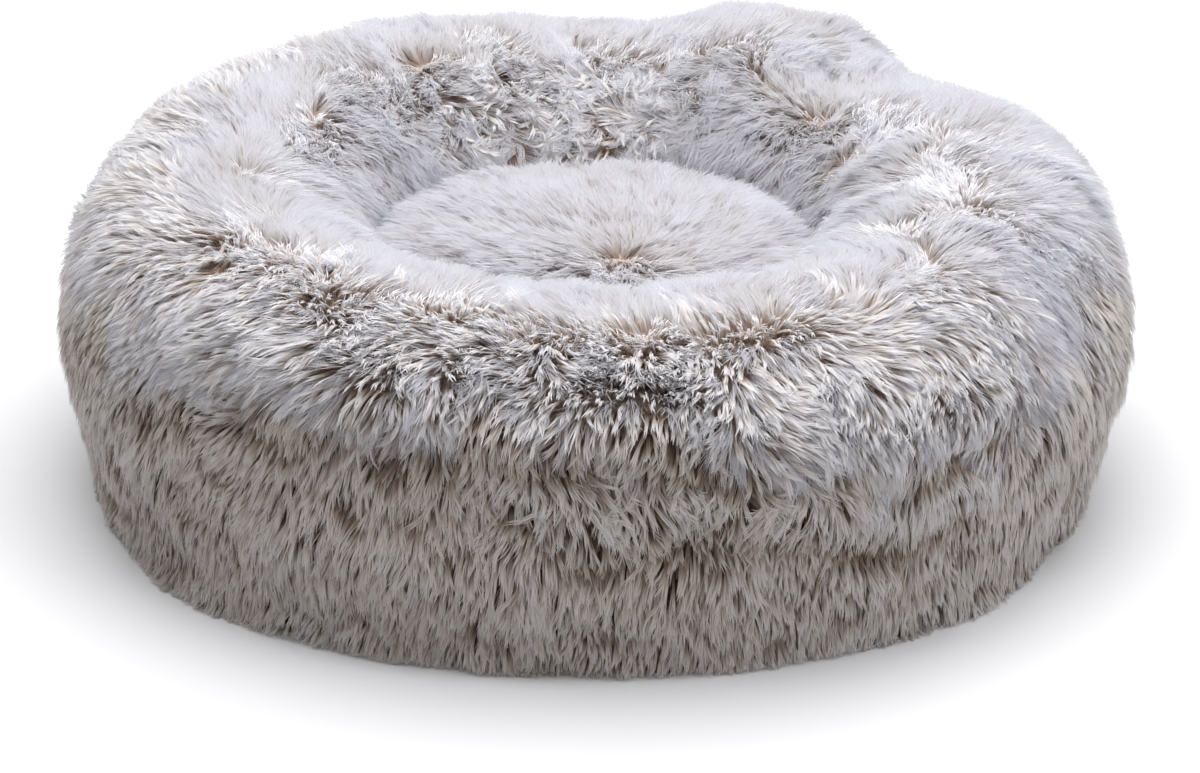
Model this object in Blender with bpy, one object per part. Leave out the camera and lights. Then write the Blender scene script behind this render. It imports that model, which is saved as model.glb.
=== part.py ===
"""Donut pet bed: a stuffed ring of long-pile faux fur round a raised centre cushion, in a zip-off cover.

Metres, +Z up. The bed stands on z = 0, its middle is the Z axis, and its front is at -Y.
"""

import math

import bmesh
import bpy
from mathutils import Matrix, Vector
from mathutils.geometry import interpolate_bezier

# Ring, to the middle of the pile
WIDEST_RADIUS = 0.291
BASE_TUCK = 0.014
BASE_RADIUS = WIDEST_RADIUS - BASE_TUCK
BASE_PULL = 0.026
WIDEST_HEIGHT = 0.094
WIDEST_PULL_DOWN = 0.030
WIDEST_PULL_UP = 0.052
CREST_RADIUS = 0.222
CREST_HEIGHT = 0.180
CREST_PULL_OUT = 0.046
CREST_PULL_IN = 0.046
NEST_RADIUS = 0.124
NEST_SEAM_HEIGHT = 0.126
NEST_PULL = 0.030

# Centre cushion
CROWN_HEIGHT = 0.147
CROWN_PULL_IN = 0.070
CROWN_PULL_OUT = 0.012

# Cloths and fillings
PILE_AND_BACKING = 0.014
BAG_CLOTH = 0.0008
BASE_CLOTH = 0.002
BASE_PANEL_INSET = 0.009
BASE_PANEL_RADIUS = BASE_RADIUS - BASE_PANEL_INSET
BINDING_TAPE = 0.0016
BINDING_TOP = 0.004
SEWN_GAP = 0.0003

# Folds of the ring, as deep as the deepest one
FOLD_RISE = 0.020

# Zip in the rear of the base seam
ZIP_INSET = 0.011
ZIP_RADIUS = BASE_RADIUS - ZIP_INSET
ZIP_MIDDLE_HEIGHT = 0.0105
ZIP_TAPE = 0.0006
COIL_DEPTH = 0.0015
COIL_WIDTH = 0.0014
COIL_SLOT = 0.0012
COVER_EDGE_OVER_ZIP = 0.0173
STOP_LENGTH = 0.003
STOP_WIDTH = 0.0056
STOP_DEPTH = 0.0009

# Slider, along the zip, across it and out of it
SLIDER_LENGTH = 0.011
SLIDER_WIDTH = 0.0084
SLIDER_WAIST = 0.0064
SLIDER_PLATE = 0.0009
SLIDER_CHANNEL = 0.0024
FLANGE_WIDTH = 0.0009
FLANGE_GAP = 0.0012
POST_LENGTH = 0.0025
POST_THICKNESS = 0.0006
BAIL_LENGTH = 0.0074
BAIL_RISE = 0.0030
BAIL_BAR = 0.0009
BAIL_WIDTH = 0.0022
POST_SHARE = 0.6
BAIL_FLAT_SHARE = 0.6
BAIL_SHOULDER_SHARE = 0.5

# Pull tab
TAB_LENGTH = 0.024
TAB_WIDTH = 0.0066
TAB_END_WIDTH = 0.0050
TAB_THICKNESS = 0.0012
TAB_ARM = 0.0011
TAB_BAR_RADIUS = 0.0005
TAB_HOLE_RADIUS = 0.0012
TAB_NOSE_SHARES = (0.3, 0.7)
CAST_EDGE = 0.00015

# Angles, from the right-hand side round to the back
ZIP_FROM = math.radians(22.5)
ZIP_TO = math.radians(157.5)
SLIDER_CLOSED = math.radians(150)
SLIDER_OPEN = math.radians(30)
STOP_CLEARANCE = math.radians(0.6)

# Facets
ROUND_STEPS = 60
ZIP_FINENESS = 2
WALL_ROWS = 5
SHOULDER_ROWS = 6
NEST_ROWS = 4
CROWN_ROWS = 4
WELD = 0.00001

# Turn round the ring, place along it from base to nest seam, reach round, reach along, rise
FOLD_SHARES = (
    (0.750, 0.64, 0.160, 0.26, -0.45),
    (0.690, 0.50, 0.065, 0.10, 0.50),
    (0.690, 0.35, 0.080, 0.10, -0.28),
    (0.770, 0.47, 0.040, 0.09, 0.42),
    (0.750, 0.36, 0.055, 0.08, -0.26),
    (0.825, 0.40, 0.055, 0.11, 0.45),
    (0.820, 0.25, 0.070, 0.10, -0.30),
    (0.880, 0.66, 0.060, 0.18, -0.23),
    (0.640, 0.62, 0.060, 0.18, 0.23),
    (0.580, 0.39, 0.050, 0.14, 0.16),
    (0.540, 0.68, 0.070, 0.20, -0.13),
    (0.420, 0.64, 0.070, 0.20, 0.46),
    (0.340, 0.70, 0.050, 0.18, 0.42),
    (0.280, 0.60, 0.050, 0.20, 0.20),
    (0.196, 0.62, 0.016, 0.22, 0.90),
    (0.170, 0.62, 0.022, 0.22, 0.80),
    (0.150, 0.62, 0.014, 0.22, 0.70),
    (0.124, 0.62, 0.016, 0.22, -0.40),
    (0.050, 0.60, 0.030, 0.18, 0.20),
    (0.000, 0.64, 0.050, 0.20, 0.16),
    (0.940, 0.37, 0.045, 0.12, 0.20),
    (0.230, 0.86, 0.030, 0.12, -0.29),
    (0.330, 0.86, 0.035, 0.12, 0.26),
    (0.170, 0.84, 0.030, 0.12, 0.33),
    (0.450, 0.84, 0.040, 0.12, -0.23),
)


def clear_scene():
    for old in list(bpy.data.objects):
        bpy.data.objects.remove(old, do_unlink=True)


def finish(name, colour, roughness, metallic=0.0):
    """A Principled material in the piece's own colour, given as linear values."""
    material = bpy.data.materials.new(name)
    material.use_nodes = True
    shader = material.node_tree.nodes["Principled BSDF"]
    shader.inputs["Base Color"].default_value = (*colour, 1.0)
    shader.inputs["Roughness"].default_value = roughness
    shader.inputs["Metallic"].default_value = metallic
    return material


def piece(name, bm, material, parent=None, smooth=True):
    """A named object from a bmesh, closed and facing outwards."""
    bmesh.ops.remove_doubles(bm, verts=bm.verts, dist=WELD)
    wires = [edge for edge in bm.edges if edge.is_wire]
    bmesh.ops.delete(bm, geom=wires, context="EDGES")
    bmesh.ops.recalc_face_normals(bm, faces=bm.faces)
    mesh = bpy.data.meshes.new(name)
    bm.to_mesh(mesh)
    bm.free()
    mesh.materials.append(material)
    if smooth:
        mesh.shade_smooth()
        mesh.set_sharp_from_angle(angle=math.radians(40))
    made = bpy.data.objects.new(name, mesh)
    bpy.context.scene.collection.objects.link(made)
    made.parent = parent
    return made


def joined(target, tools, operation="UNION"):
    """Adds each tool to the target, or takes it away, and keeps the tools out of the model."""
    for tool in tools:
        tool.hide_render = True
        tool.display_type = "WIRE"
        step = target.modifiers.new(tool.name, "BOOLEAN")
        step.operation = operation
        step.solver = "EXACT"
        step.object = tool


def soften(target):
    """Breaks the sharp edges of a small cast piece."""
    edge = target.modifiers.new("edges", "BEVEL")
    edge.width = CAST_EDGE
    edge.segments = 1
    edge.limit_method = "ANGLE"
    edge.angle_limit = math.radians(50)


def stretch(start, start_pull, end_pull, end, rows):
    """Points of one Bezier stretch, without its first point."""
    flat = [Vector((radius, height, 0)) for radius, height in (start, start_pull, end_pull, end)]
    return [point.xy for point in interpolate_bezier(*flat, rows + 1)][1:]


def ring_section():
    """Rows of the ring's section, base edge over the crest to the nest seam, and their outward directions."""
    base = (BASE_RADIUS, BINDING_TOP + SEWN_GAP)
    widest = (WIDEST_RADIUS, WIDEST_HEIGHT)
    crest = (CREST_RADIUS, CREST_HEIGHT)
    seam = (NEST_RADIUS, NEST_SEAM_HEIGHT)
    rows = [Vector(base)]
    rows += stretch(
        base,
        (BASE_RADIUS, base[1] + BASE_PULL),
        (WIDEST_RADIUS, WIDEST_HEIGHT - WIDEST_PULL_DOWN),
        widest,
        WALL_ROWS,
    )
    rows += stretch(
        widest,
        (WIDEST_RADIUS, WIDEST_HEIGHT + WIDEST_PULL_UP),
        (CREST_RADIUS + CREST_PULL_OUT, CREST_HEIGHT),
        crest,
        SHOULDER_ROWS,
    )
    rows += stretch(
        crest,
        (CREST_RADIUS - CREST_PULL_IN, CREST_HEIGHT),
        (NEST_RADIUS, NEST_SEAM_HEIGHT + NEST_PULL),
        seam,
        NEST_ROWS,
    )
    outward = [Vector((1, 0))]
    for before, after in zip(rows, rows[2:]):
        along = (after - before).normalized()
        outward.append(Vector((along.y, -along.x)))
    outward.append(Vector((-1, 0)))
    return rows, outward


RING_ROWS, RING_OUTWARD = ring_section()


def fold_rise(turn, along):
    """Height of the folds at one place of the ring, nothing at its two sewn ends."""
    rise = 0.0
    for fold_turn, fold_along, reach_round, reach_along, share in FOLD_SHARES:
        round_off = (turn - fold_turn + 0.5) % 1.0 - 0.5
        spread = (round_off / reach_round) ** 2 + ((along - fold_along) / reach_along) ** 2
        rise += share * math.exp(-spread)
    return FOLD_RISE * rise * math.sin(math.pi * along) ** 0.5


def ring_place(turn, row, inset):
    """The point of the ring at a turn and a row, this far inside the middle of the pile."""
    along = row / (len(RING_ROWS) - 1)
    place = RING_ROWS[row] + RING_OUTWARD[row] * (fold_rise(turn, along) - inset)
    angle = math.tau * turn
    return Vector((place.x * math.cos(angle), place.x * math.sin(angle), place.y))


def over_zip(turn):
    """How far the cover's lower edge is raised towards its next row, from none to all."""
    lift = (COVER_EDGE_OVER_ZIP - RING_ROWS[0].y) / (RING_ROWS[1].y - RING_ROWS[0].y)
    angle = math.tau * (turn % 1.0)
    margin = math.tau / ROUND_STEPS
    return lift if ZIP_FROM - margin < angle < ZIP_TO + margin else 0.0


def grid_slab(columns, rows):
    """A slab of unit cells, two faces deep: column in x, row in y, side in z."""
    bm = bmesh.new()
    bmesh.ops.create_grid(bm, x_segments=columns, y_segments=rows, size=0.5)
    bmesh.ops.translate(bm, verts=bm.verts, vec=(0.5, 0.5, 0))
    bmesh.ops.scale(bm, verts=bm.verts, vec=(columns, rows, 1))
    bmesh.ops.triangulate(bm, faces=bm.faces)
    deeper = bmesh.ops.extrude_face_region(bm, geom=bm.faces[:], use_keep_orig=True)["geom"]
    moved = [item for item in deeper if isinstance(item, bmesh.types.BMVert)]
    bmesh.ops.translate(bm, verts=moved, vec=(0, 0, 1))
    return bm


def ring_shell(name, material, first_turn, turns, outer_inset, inner_inset, lower_end=None):
    """A sewn shell of the ring over some of its turn. lower_end is where its inner wall reaches down to."""
    columns = round(ROUND_STEPS * turns)
    last_row = len(RING_ROWS) - 1
    rows = last_row + (lower_end is not None)
    half_seam = SEWN_GAP / 2 / math.tau / NEST_RADIUS
    bm = grid_slab(columns, rows)
    for vert in bm.verts:
        column, row, side = (round(value) for value in vert.co)
        turn = first_turn + column / ROUND_STEPS
        turn += half_seam * ((column == 0) - (column == columns))
        inset = inner_inset if side else outer_inset
        vert.co = ring_place(turn, min(row, last_row), inset)
        if row > last_row:
            vert.co.z = lower_end
        if row == 0 and lower_end is None:
            vert.co = vert.co.lerp(ring_place(turn, 1, inset), over_zip(turn))
        elif row == 0:
            vert.co.z = lower_end
    return piece(name, bm, material)


def ring_core(name, material, inset, bottom):
    """The filling: the ring's whole section, closed along its flat bottom."""
    last_row = len(RING_ROWS) - 1
    bm = bmesh.new()
    rows = last_row + 2
    bmesh.ops.create_grid(bm, x_segments=ROUND_STEPS, y_segments=rows, size=0.5)
    bmesh.ops.translate(bm, verts=bm.verts, vec=(0.5, 0.5, 0))
    bmesh.ops.scale(bm, verts=bm.verts, vec=(ROUND_STEPS, rows, 1))
    bmesh.ops.triangulate(bm, faces=bm.faces)
    for vert in bm.verts:
        column, row = round(vert.co.x), round(vert.co.y) % rows
        vert.co = ring_place((column % ROUND_STEPS) / ROUND_STEPS, min(row, last_row), inset)
        if row == 0 or row > last_row:
            vert.co.z = bottom
    return piece(name, bm, material)


def turned(name, material, outline, steps=ROUND_STEPS, first=0.0, angle=math.tau, parent=None):
    """A solid turned about the Z axis from (radius, height) points. A partial turn gets flat ends."""
    bm = bmesh.new()
    corners = [bm.verts.new((radius, 0, height)) for radius, height in outline]
    whole = angle == math.tau
    on_axis = outline[0][0] == 0 and outline[-1][0] == 0
    pairs = list(zip(corners, corners[1:]))
    if not on_axis:
        pairs.append((corners[-1], corners[0]))
    edges = [bm.edges.new(pair) for pair in pairs]
    bmesh.ops.rotate(bm, verts=corners, cent=(0, 0, 0), matrix=Matrix.Rotation(first, 3, "Z"))
    bmesh.ops.spin(
        bm,
        geom=corners + edges,
        cent=(0, 0, 0),
        axis=(0, 0, 1),
        angle=angle,
        steps=steps,
        use_merge=whole,
    )
    if not whole:
        bmesh.ops.holes_fill(bm, edges=[edge for edge in bm.edges if edge.is_boundary])
    return piece(name, bm, material, parent)


def centre_top(drop, radius_of_edge):
    """Points of the crowned top from the axis out to its edge, this far under the middle of the pile."""
    crown = (0.0, CROWN_HEIGHT - drop)
    edge = (radius_of_edge, NEST_SEAM_HEIGHT - drop)
    dome = stretch(
        crown,
        (CROWN_PULL_IN, crown[1]),
        (radius_of_edge - CROWN_PULL_OUT, edge[1] + CROWN_PULL_OUT),
        edge,
        CROWN_ROWS,
    )
    return [crown] + [tuple(point) for point in dome]


def make_centre(fur, bag, filling):
    """The centre cushion: fur disc with its seam allowance under the ring's end, bag and filling."""
    side = NEST_RADIUS + PILE_AND_BACKING
    allowance = NEST_SEAM_HEIGHT - SEWN_GAP
    under_fur = NEST_SEAM_HEIGHT - PILE_AND_BACKING
    floor = BASE_CLOTH + SEWN_GAP
    inside = BAG_CLOTH + SEWN_GAP
    cover_inner = list(reversed(centre_top(PILE_AND_BACKING, NEST_RADIUS - SEWN_GAP)))
    turned(
        "centre_cover",
        fur,
        centre_top(0, NEST_RADIUS - SEWN_GAP)
        + [
            (NEST_RADIUS - SEWN_GAP, allowance),
            (side, allowance),
            (side, under_fur),
        ]
        + cover_inner,
    )
    bag_drop = PILE_AND_BACKING + SEWN_GAP
    turned(
        "centre_bag_top",
        bag,
        centre_top(bag_drop, NEST_RADIUS - SEWN_GAP)
        + [
            (side, NEST_SEAM_HEIGHT - bag_drop),
            (side, floor + inside),
            (side - BAG_CLOTH, floor + inside),
            (side - BAG_CLOTH, NEST_SEAM_HEIGHT - bag_drop - BAG_CLOTH),
        ]
        + list(reversed(centre_top(bag_drop + BAG_CLOTH, NEST_RADIUS - SEWN_GAP))),
    )
    turned(
        "centre_bag_bottom",
        bag,
        [(0.0, floor), (side, floor), (side, floor + BAG_CLOTH), (0.0, floor + BAG_CLOTH)],
    )
    fill_drop = bag_drop + inside
    turned(
        "centre_fill",
        filling,
        centre_top(fill_drop, NEST_RADIUS - SEWN_GAP)
        + [
            (side - inside, NEST_SEAM_HEIGHT - fill_drop),
            (side - inside, floor + inside),
            (0.0, floor + inside),
        ],
    )


def make_ring(fur, bag, filling):
    """The ring: two fur panels, the bag inside them and its filling."""
    floor = BASE_CLOTH + SEWN_GAP
    inside = BAG_CLOTH + SEWN_GAP
    bag_inset = PILE_AND_BACKING + SEWN_GAP
    ring_shell("rim_cover_back", fur, 0.0, 0.5, 0, PILE_AND_BACKING)
    ring_shell("rim_cover_front", fur, 0.5, 0.5, 0, PILE_AND_BACKING)
    bag_from = floor + inside
    ring_shell("rim_bag_left", bag, 0.25, 0.5, bag_inset, bag_inset + BAG_CLOTH, bag_from)
    ring_shell("rim_bag_right", bag, 0.75, 0.5, bag_inset, bag_inset + BAG_CLOTH, bag_from)
    ring_core("rim_fill", filling, bag_inset + inside, bag_from)
    inner, outer = NEST_RADIUS + bag_inset, BASE_RADIUS - bag_inset
    turned(
        "rim_bag_bottom",
        bag,
        [(inner, floor), (outer, floor), (outer, floor + BAG_CLOTH), (inner, floor + BAG_CLOTH)],
    )


def make_base(base_cloth, binding):
    """The base panel, flat on the ground, and the tape that binds its edge."""
    turned(
        "base_panel",
        base_cloth,
        [
            (0.0, 0.0),
            (BASE_PANEL_RADIUS, 0.0),
            (BASE_PANEL_RADIUS, BASE_CLOTH),
            (0.0, BASE_CLOTH),
        ],
    )
    inner = BASE_PANEL_RADIUS + SEWN_GAP
    foot = SEWN_GAP
    turned(
        "base_binding",
        binding,
        [
            (inner, foot),
            (inner + BINDING_TAPE, foot),
            (inner + BINDING_TAPE, BINDING_TOP),
            (inner, BINDING_TOP),
        ],
    )


def make_zip(tape, nylon, metal):
    """Tapes, coils and end stops, round the rear of the base seam."""
    turn = ZIP_TO - ZIP_FROM
    steps = round(ZIP_FINENESS * ROUND_STEPS * turn / math.tau)
    half_slot = COIL_SLOT / 2
    for level, sign, far_edge in (
        ("upper", 1, COVER_EDGE_OVER_ZIP - SEWN_GAP),
        ("lower", -1, BASE_CLOTH + SEWN_GAP),
    ):
        coil_near = ZIP_MIDDLE_HEIGHT + sign * half_slot
        coil_far = coil_near + sign * COIL_WIDTH
        tape_near = coil_far + sign * SEWN_GAP
        half_coil, half_tape = COIL_DEPTH / 2, ZIP_TAPE / 2
        for name, material, near, far, half in (
            ("zip_coil_" + level, nylon, coil_near, coil_far, half_coil),
            ("zip_tape_" + level, tape, tape_near, far_edge, half_tape),
        ):
            low, high = sorted((near, far))
            turned(
                name,
                material,
                [
                    (ZIP_RADIUS - half, low),
                    (ZIP_RADIUS + half, low),
                    (ZIP_RADIUS + half, high),
                    (ZIP_RADIUS - half, high),
                ],
                steps,
                ZIP_FROM,
                turn,
            )
    half_slider = SLIDER_LENGTH / 2 / ZIP_RADIUS
    half_stop = STOP_LENGTH / 2 / ZIP_RADIUS
    beyond = half_slider + half_stop + STOP_CLEARANCE
    for name, angle in (
        ("zip_closed_stop", SLIDER_CLOSED + beyond),
        ("zip_open_stop", SLIDER_OPEN - beyond),
    ):
        make_stop(name, metal, angle)


def make_stop(name, metal, angle):
    """A metal stop pressed on the outer side of both coils."""
    inner = ZIP_RADIUS + COIL_DEPTH / 2 + SEWN_GAP
    size = (STOP_DEPTH, STOP_LENGTH, STOP_WIDTH)
    stop = block(name, metal, (inner + STOP_DEPTH / 2, 0, ZIP_MIDDLE_HEIGHT), size, None)
    stop.data.transform(Matrix.Rotation(angle, 4, "Z"))
    stop.modifiers.new("rounded", "BEVEL").width = STOP_DEPTH / 4
    return stop


def block(name, material, centre, size, parent):
    """A box by its middle and its three sides."""
    bm = bmesh.new()
    bmesh.ops.create_cube(bm, size=1)
    bmesh.ops.scale(bm, verts=bm.verts, vec=size)
    bmesh.ops.translate(bm, verts=bm.verts, vec=centre)
    return piece(name, bm, material, parent, smooth=False)


def plate(name, material, outline, low, high, parent):
    """A flat plate square to the radial direction, from (along, across) points."""
    bm = bmesh.new()
    face = bm.faces.new([bm.verts.new((low, along, across)) for along, across in outline])
    raised = bmesh.ops.extrude_face_region(bm, geom=[face], use_keep_orig=True)["geom"]
    moved = [item for item in raised if isinstance(item, bmesh.types.BMVert)]
    bmesh.ops.translate(bm, verts=moved, vec=(high - low, 0, 0))
    return piece(name, bm, material, parent, smooth=False)


def make_slider(metal):
    """The slider on an empty at the bed's middle, about whose upright axis it travels."""
    travel = bpy.data.objects.new("slider_travel", None)
    bpy.context.scene.collection.objects.link(travel)
    travel.rotation_euler.z = SLIDER_CLOSED
    half_length, half_channel = SLIDER_LENGTH / 2, SLIDER_CHANNEL / 2
    wide, waist = SLIDER_WIDTH / 2, SLIDER_WAIST / 2
    outline = [
        (-half_length, -waist),
        (half_length - POST_LENGTH, -wide),
        (half_length, -waist),
        (half_length, waist),
        (half_length - POST_LENGTH, wide),
        (-half_length, waist),
    ]
    middle = Matrix.Translation((ZIP_RADIUS, 0, ZIP_MIDDLE_HEIGHT))
    outside = half_channel + SLIDER_PLATE
    slider = plate("zip_slider", metal, outline, half_channel, outside, travel)
    inner_plate = plate("inner_plate", metal, outline, -outside, -half_channel, travel)
    post_length = POST_LENGTH * POST_SHARE
    post = block(
        "post",
        metal,
        (0, half_length - POST_LENGTH / 2, 0),
        (SLIDER_CHANNEL + SLIDER_PLATE, post_length, POST_THICKNESS),
        travel,
    )
    flanges = []
    flange_rise = (SLIDER_CHANNEL - FLANGE_GAP) / 2
    for sign in (-1, 1):
        for side in (-1, 1):
            flanges.append(
                block(
                    "flange",
                    metal,
                    (
                        side * (half_channel - flange_rise / 2 + SLIDER_PLATE / 4),
                        -POST_LENGTH / 2,
                        sign * (waist - FLANGE_WIDTH / 2),
                    ),
                    (flange_rise + SLIDER_PLATE / 2, SLIDER_LENGTH - POST_LENGTH, FLANGE_WIDTH),
                    travel,
                )
            )
    bail = make_bail(metal, outside, travel)
    parts = [slider, inner_plate, post, *flanges, bail]
    for part in parts:
        part.data.transform(middle)
    joined(slider, parts[1:])
    soften(slider)
    return travel, outside


def make_bail(metal, foot, travel):
    """The arch on the slider's face that holds the pull tab."""
    half_length = BAIL_LENGTH / 2
    bm = bmesh.new()
    base = foot - SLIDER_PLATE / 2
    top = foot + BAIL_RISE
    shoulder = foot + BAIL_RISE * BAIL_SHOULDER_SHARE
    outer = [
        (-half_length, base),
        (-half_length, shoulder),
        (-half_length * BAIL_FLAT_SHARE, top),
        (half_length * BAIL_FLAT_SHARE, top),
        (half_length, shoulder),
        (half_length, base),
    ]
    inner_half = half_length - BAIL_BAR
    inner_top = top - BAIL_BAR
    inner = [
        (inner_half, base),
        (inner_half, shoulder - BAIL_BAR / 2),
        (inner_half * BAIL_FLAT_SHARE, inner_top),
        (-inner_half * BAIL_FLAT_SHARE, inner_top),
        (-inner_half, shoulder - BAIL_BAR / 2),
        (-inner_half, base),
    ]
    corners = [bm.verts.new((out, along, -BAIL_WIDTH / 2)) for along, out in outer + inner]
    face = bm.faces.new(corners)
    raised = bmesh.ops.extrude_face_region(bm, geom=[face], use_keep_orig=True)["geom"]
    moved = [item for item in raised if isinstance(item, bmesh.types.BMVert)]
    bmesh.ops.translate(bm, verts=moved, vec=(0, 0, BAIL_WIDTH))
    return piece("bail", bm, metal, travel, smooth=False)


def make_pull_tab(metal, travel, slider_face):
    """The pull tab on an empty at the middle of its bar, which lies in the bail."""
    swing = bpy.data.objects.new("tab_swing", None)
    bpy.context.scene.collection.objects.link(swing)
    swing.parent = travel
    bar_out = slider_face + (BAIL_RISE - BAIL_BAR) / 2
    swing.location = (ZIP_RADIUS + bar_out, 0, ZIP_MIDDLE_HEIGHT)
    half = TAB_THICKNESS / 2
    half_width, half_end = TAB_WIDTH / 2, TAB_END_WIDTH / 2
    slot_half = half_width - TAB_ARM
    nose_back, nose_out = TAB_NOSE_SHARES
    slot_end = BAIL_LENGTH / 2 + TAB_THICKNESS
    outline = [
        (-half, -half_width),
        (slot_end + TAB_ARM, -half_width),
        (TAB_LENGTH - half_end, -half_end),
        (TAB_LENGTH - half_end * nose_back, -half_end * nose_out),
        (TAB_LENGTH, 0),
        (TAB_LENGTH - half_end * nose_back, half_end * nose_out),
        (TAB_LENGTH - half_end, half_end),
        (slot_end + TAB_ARM, half_width),
        (-half, half_width),
    ]
    tab = plate("zip_pull_tab", metal, outline, -half, half, swing)
    slot = block(
        "tab_slot",
        metal,
        (0, slot_end / 2 - TAB_LENGTH / 4, 0),
        (TAB_WIDTH, slot_end + TAB_LENGTH / 2, slot_half * 2),
        swing,
    )
    bar = block(
        "tab_bar",
        metal,
        (0, 0, 0),
        (TAB_BAR_RADIUS * 2, TAB_BAR_RADIUS * 2, TAB_WIDTH - TAB_ARM),
        swing,
    )
    hole = bmesh.new()
    bmesh.ops.create_cone(
        hole,
        cap_ends=True,
        segments=12,
        radius1=TAB_HOLE_RADIUS,
        radius2=TAB_HOLE_RADIUS,
        depth=TAB_WIDTH,
        matrix=Matrix.Translation((0, TAB_LENGTH - TAB_WIDTH, 0)) @ Matrix.Rotation(math.pi / 2, 4, "Y"),
    )
    hole = piece("tab_hole", hole, metal, swing)
    joined(tab, [slot, hole], "DIFFERENCE")
    joined(tab, [bar])
    soften(tab)


def main():
    clear_scene()
    fur = finish("long_pile_faux_fur", (0.62, 0.58, 0.55), 0.9)
    bag = finish("nonwoven_bag_cloth", (0.80, 0.80, 0.78), 0.85)
    filling = finish("hollow_fibre_filling", (0.86, 0.86, 0.85), 0.95)
    base_cloth = finish("coated_base_cloth", (0.22, 0.20, 0.19), 0.8)
    binding = finish("binding_tape", (0.25, 0.23, 0.21), 0.8)
    tape = finish("zip_tape", (0.50, 0.47, 0.43), 0.8)
    nylon = finish("nylon_coil", (0.55, 0.52, 0.47), 0.4)
    metal = finish("nickel_plated_zinc", (0.60, 0.58, 0.55), 0.3, 1.0)
    make_base(base_cloth, binding)
    make_ring(fur, bag, filling)
    make_centre(fur, bag, filling)
    make_zip(tape, nylon, metal)
    travel, slider_face = make_slider(metal)
    make_pull_tab(metal, travel, slider_face)


main()
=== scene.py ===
"""Looks of the donut pet bed: long-pile fur on padded panels, cloths, zip, light and camera.

Metres, +Z up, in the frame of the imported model. The front is at -Y.
"""

import math
from types import SimpleNamespace

import bmesh
import bpy
import numpy as np
from mathutils import Matrix, Vector
from mathutils.bvhtree import BVHTree


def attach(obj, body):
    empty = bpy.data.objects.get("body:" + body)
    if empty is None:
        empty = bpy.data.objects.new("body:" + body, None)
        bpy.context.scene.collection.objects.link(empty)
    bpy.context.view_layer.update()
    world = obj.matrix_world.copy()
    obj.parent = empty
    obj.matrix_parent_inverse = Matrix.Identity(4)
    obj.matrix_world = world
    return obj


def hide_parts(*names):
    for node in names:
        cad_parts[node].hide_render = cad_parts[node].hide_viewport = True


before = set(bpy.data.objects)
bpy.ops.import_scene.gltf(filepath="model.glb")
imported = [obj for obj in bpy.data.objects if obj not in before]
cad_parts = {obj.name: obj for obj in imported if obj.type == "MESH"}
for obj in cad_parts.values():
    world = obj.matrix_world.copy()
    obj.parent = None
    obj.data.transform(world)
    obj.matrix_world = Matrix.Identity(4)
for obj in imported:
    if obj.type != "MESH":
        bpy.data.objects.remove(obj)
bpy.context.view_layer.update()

# Camera
TARGET = Vector((0, 0, 0.105))
DISTANCE = 2.34
ELEVATION = math.radians(21.2)
FOCAL_PIXELS = 4200
IMAGE_SIZE = (1200, 773)
TARGET_PIXEL = (595, 287)
ROLL = math.radians(0.5)
SENSOR = 36.0

# Padded panels under the pile. The cushion's is cut off below this height and outside this radius
MERGE = 0.00001
PAD_PANEL_FROM = 0.1259
PAD_PANEL_TO = 0.1245
OUTER_SHEET_FROM = 0.008
BACKING_DEPTH = 0.0055
BACKING_THICK = 0.0025
SEAM_TURN_IN = 0.009
SEAM_WITHIN = 0.16
PAD_SEAM_BEYOND = 0.1
PAD_TURN_OUT = 1.09
PAD_TURN_DOWN = 0.001
SWELL_CAP = 0.005
SWELL_FRAMES = 20

# Pile
PILE_LENGTH = 0.026
LOCK_SPACING = 0.0035
LOCK_RADIUS = 0.0019
PILE_RISE = 0.018
FOLD_RISE = 0.006
SKIRT_RISE = 0.012
FLOOR_CLEARANCE = 0.0008
UV_SPAN = 0.004
TRIES_PER_CELL = 12
GOLDEN_TURN = 2.399963
WILD_STRANDS = 0.05
WILD_STRAY = 1.7

# Zones of the pile, by radius. In front, the pile parts a little further out
WALL_RADIUS = 0.235
SHOULDER_RADIUS = 0.216
PARTING_RADIUS = 0.19
PARTING_FORWARD = 0.035
PAD_SEAM = 0.124
FLOOR_ZONE = 0.045
ZIP_MARGIN = 0.015

# Places where the pile flares out over the floor: degrees round the bed, reach in degrees, share
SKIRTS = ((-132, 20, 1.0), (-47, 11, 0.8))

# The two ways that the pile falls. Each list runs from a strand's root to its tip
SILKY = {
    "strands": 11,
    "width": 0.0007,
    "along": (0.0, 0.5, 1.0),
    "widths": (0.9, 1.0),
    "clump": (0.0, 0.15, 0.3),
    "lean": (math.radians(44), math.radians(78)),
    "stray": 0.11,
    "facing": 0.88,
    "speckle": 0.05,
}
SHAGGY = {
    "strands": 6,
    "width": 0.0009,
    "along": (0.0, 0.36, 0.72, 1.0),
    "widths": (0.8, 1.0, 0.95),
    "clump": (0.0, 0.6, 0.84, 0.86),
    "lean": (math.radians(36), math.radians(80)),
    "stray": 0.042,
    "facing": 0.5,
    "speckle": 0.1,
}

# Places where the pile turns round a point: middle, reach, turn at the middle
SWIRLS = (
    ((0.014, -0.049, 0.147), 0.070, 0.15),
    ((0.124, 0.114, 0.170), 0.045, 0.7),
    ((-0.137, -0.175, 0.180), 0.020, 0.4),
    ((0.025, -0.232, 0.178), 0.018, -0.5),
    ((0.137, 0.062, 0.160), 0.024, 0.6),
    ((-0.196, -0.150, 0.172), 0.014, 0.2),
)

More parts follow.
